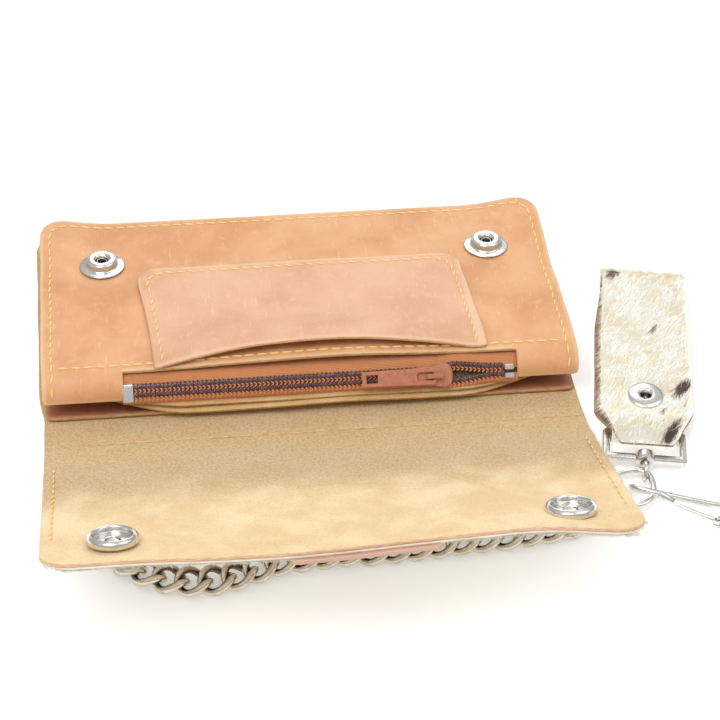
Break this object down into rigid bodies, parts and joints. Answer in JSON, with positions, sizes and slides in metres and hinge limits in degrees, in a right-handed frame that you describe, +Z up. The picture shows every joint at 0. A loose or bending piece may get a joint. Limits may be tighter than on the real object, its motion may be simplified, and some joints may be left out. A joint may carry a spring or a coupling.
{
  "type": "chain wallet",
  "caption": "Long leather biker wallet, snap flap open: zip coin pocket, patch pocket, dividers, curb chain, swivel belt fob of hair hide and key clip.",
  "frame": {"origin": "centre of the back hide's underside, on the surface that the wallet lies on", "axes": "+Z up out of the surface, +X along the wallet to the belt fob's side, -Y the way the flap is thrown open"},
  "size_m": [0.2541, 0.2075, 0.0514],
  "materials": {
    "hair_hide": "ochre suede flesh side, short cream hair outside",
    "fob_hide": "short cream hair with dark brown spots",
    "tan_leather": "smooth tan leather, lightly scuffed",
    "pocket_leather": "smooth pinkish tan leather",
    "lining_leather": "smooth red-brown leather",
    "suede": "suede with a rough cut edge",
    "zip_tape": "woven orange-brown tape",
    "zip_coil": "dark brown nylon coil",
    "slider_paint": "satin terracotta brown paint",
    "nickel": "bright nickel plate"
  },
  "bodies": {
    "wallet": {"back_hide": "hair_hide", "rear_divider": "lining_leather", "middle_divider": "suede", "zip_pocket_back": "lining_leather", "front_panel": "tan_leather", "patch_pocket": "pocket_leather", "zip_tape_upper": "zip_tape", "zip_tape_lower": "zip_tape", "zip_coil_upper": "zip_coil", "zip_coil_lower": "zip_coil", "zip_bottom_stop": "nickel", "zip_top_stop_upper": "nickel", "zip_top_stop_lower": "nickel", "stud_left": "nickel", "stud_right": "nickel", "stud_rivet_left": "nickel", "stud_rivet_right": "nickel", "chain_tab": "lining_leather", "d_ring": "nickel", "wallet_chain": "nickel", "pear_ring": "nickel"},
    "spine": {"spine_hide": "hair_hide"},
    "flap": {"flap_hide": "hair_hide", "flap_facing": "lining_leather", "socket_left": "nickel", "socket_right": "nickel", "cap_left": "nickel", "cap_right": "nickel"},
    "slider": {"slider_body": "slider_paint"},
    "pull": {"slider_pull": "slider_paint"},
    "post": {"swivel_post": "nickel"},
    "fob_frame_body": {"fob_frame": "nickel"},
    "strap_rear": {"strap_rear_leaf": "fob_hide", "fob_stud": "nickel"},
    "strap_front": {"strap_front_leaf": "fob_hide", "fob_socket": "nickel", "fob_eyelet": "nickel"},
    "clip": {"clip_body": "nickel"},
    "gate": {"clip_gate": "nickel"}
  },
  "joints": [
    {"name": "spine_fold", "type": "hinge", "parent": "wallet", "child": "spine", "pos_m": [0, -0.0525, 0.0031], "axis": [-1, 0, 0], "range_deg": [0, 75]},
    {"name": "flap_fold", "type": "hinge", "parent": "spine", "child": "flap", "pos_m": [0, -0.07472, 0.00905], "axis": [-1, 0, 0], "range_deg": [0, 82.7]},
    {"name": "zip_slide", "type": "slide", "parent": "wallet", "child": "slider", "axis": [1, 0, 0], "range_m": [-0.096, 0.016]},
    {"name": "pull_swing", "type": "hinge", "parent": "slider", "child": "pull", "pos_m": [0.043, -0.0483, 0.01567], "axis": [0, 0.6691, 0.7431], "range_deg": [0, 180]},
    {"name": "post_tilt", "type": "hinge", "parent": "wallet", "child": "post", "pos_m": [0.1116, -0.08968, 0.0041], "axis": [0.9826, -0.1857, 0], "range_deg": [0, 60]},
    {"name": "swivel_spin", "type": "hinge", "parent": "post", "child": "fob_frame_body", "pos_m": [0.1129, -0.0828, 0.0041], "axis": [0.1857, 0.9826, 0], "continuous": true},
    {"name": "strap_hinge", "type": "hinge", "parent": "fob_frame_body", "child": "strap_rear", "pos_m": [0.11494, -0.07199, 0.0041], "axis": [0.9826, -0.1857, 0], "range_deg": [0, 14]},
    {"name": "strap_fold", "type": "hinge", "parent": "strap_rear", "child": "strap_front", "pos_m": [0.12922, 0.00357, 0.0086], "axis": [-0.9826, 0.1857, 0], "range_deg": [0, 120]},
    {"name": "clip_swing", "type": "hinge", "parent": "wallet", "child": "clip", "pos_m": [0.1126, -0.0993, 0.0039], "axis": [0, 0, 1], "range_deg": [-20, 20]},
    {"name": "gate_open", "type": "hinge", "parent": "clip", "child": "gate", "pos_m": [0.13235, -0.1127, 0.0026], "axis": [0, 0, -1], "range_deg": [0, 14]}
  ],
  "couplings": [
    {"joint": "flap_fold", "follows": "spine_fold", "ratio": 1.103}
  ]
}
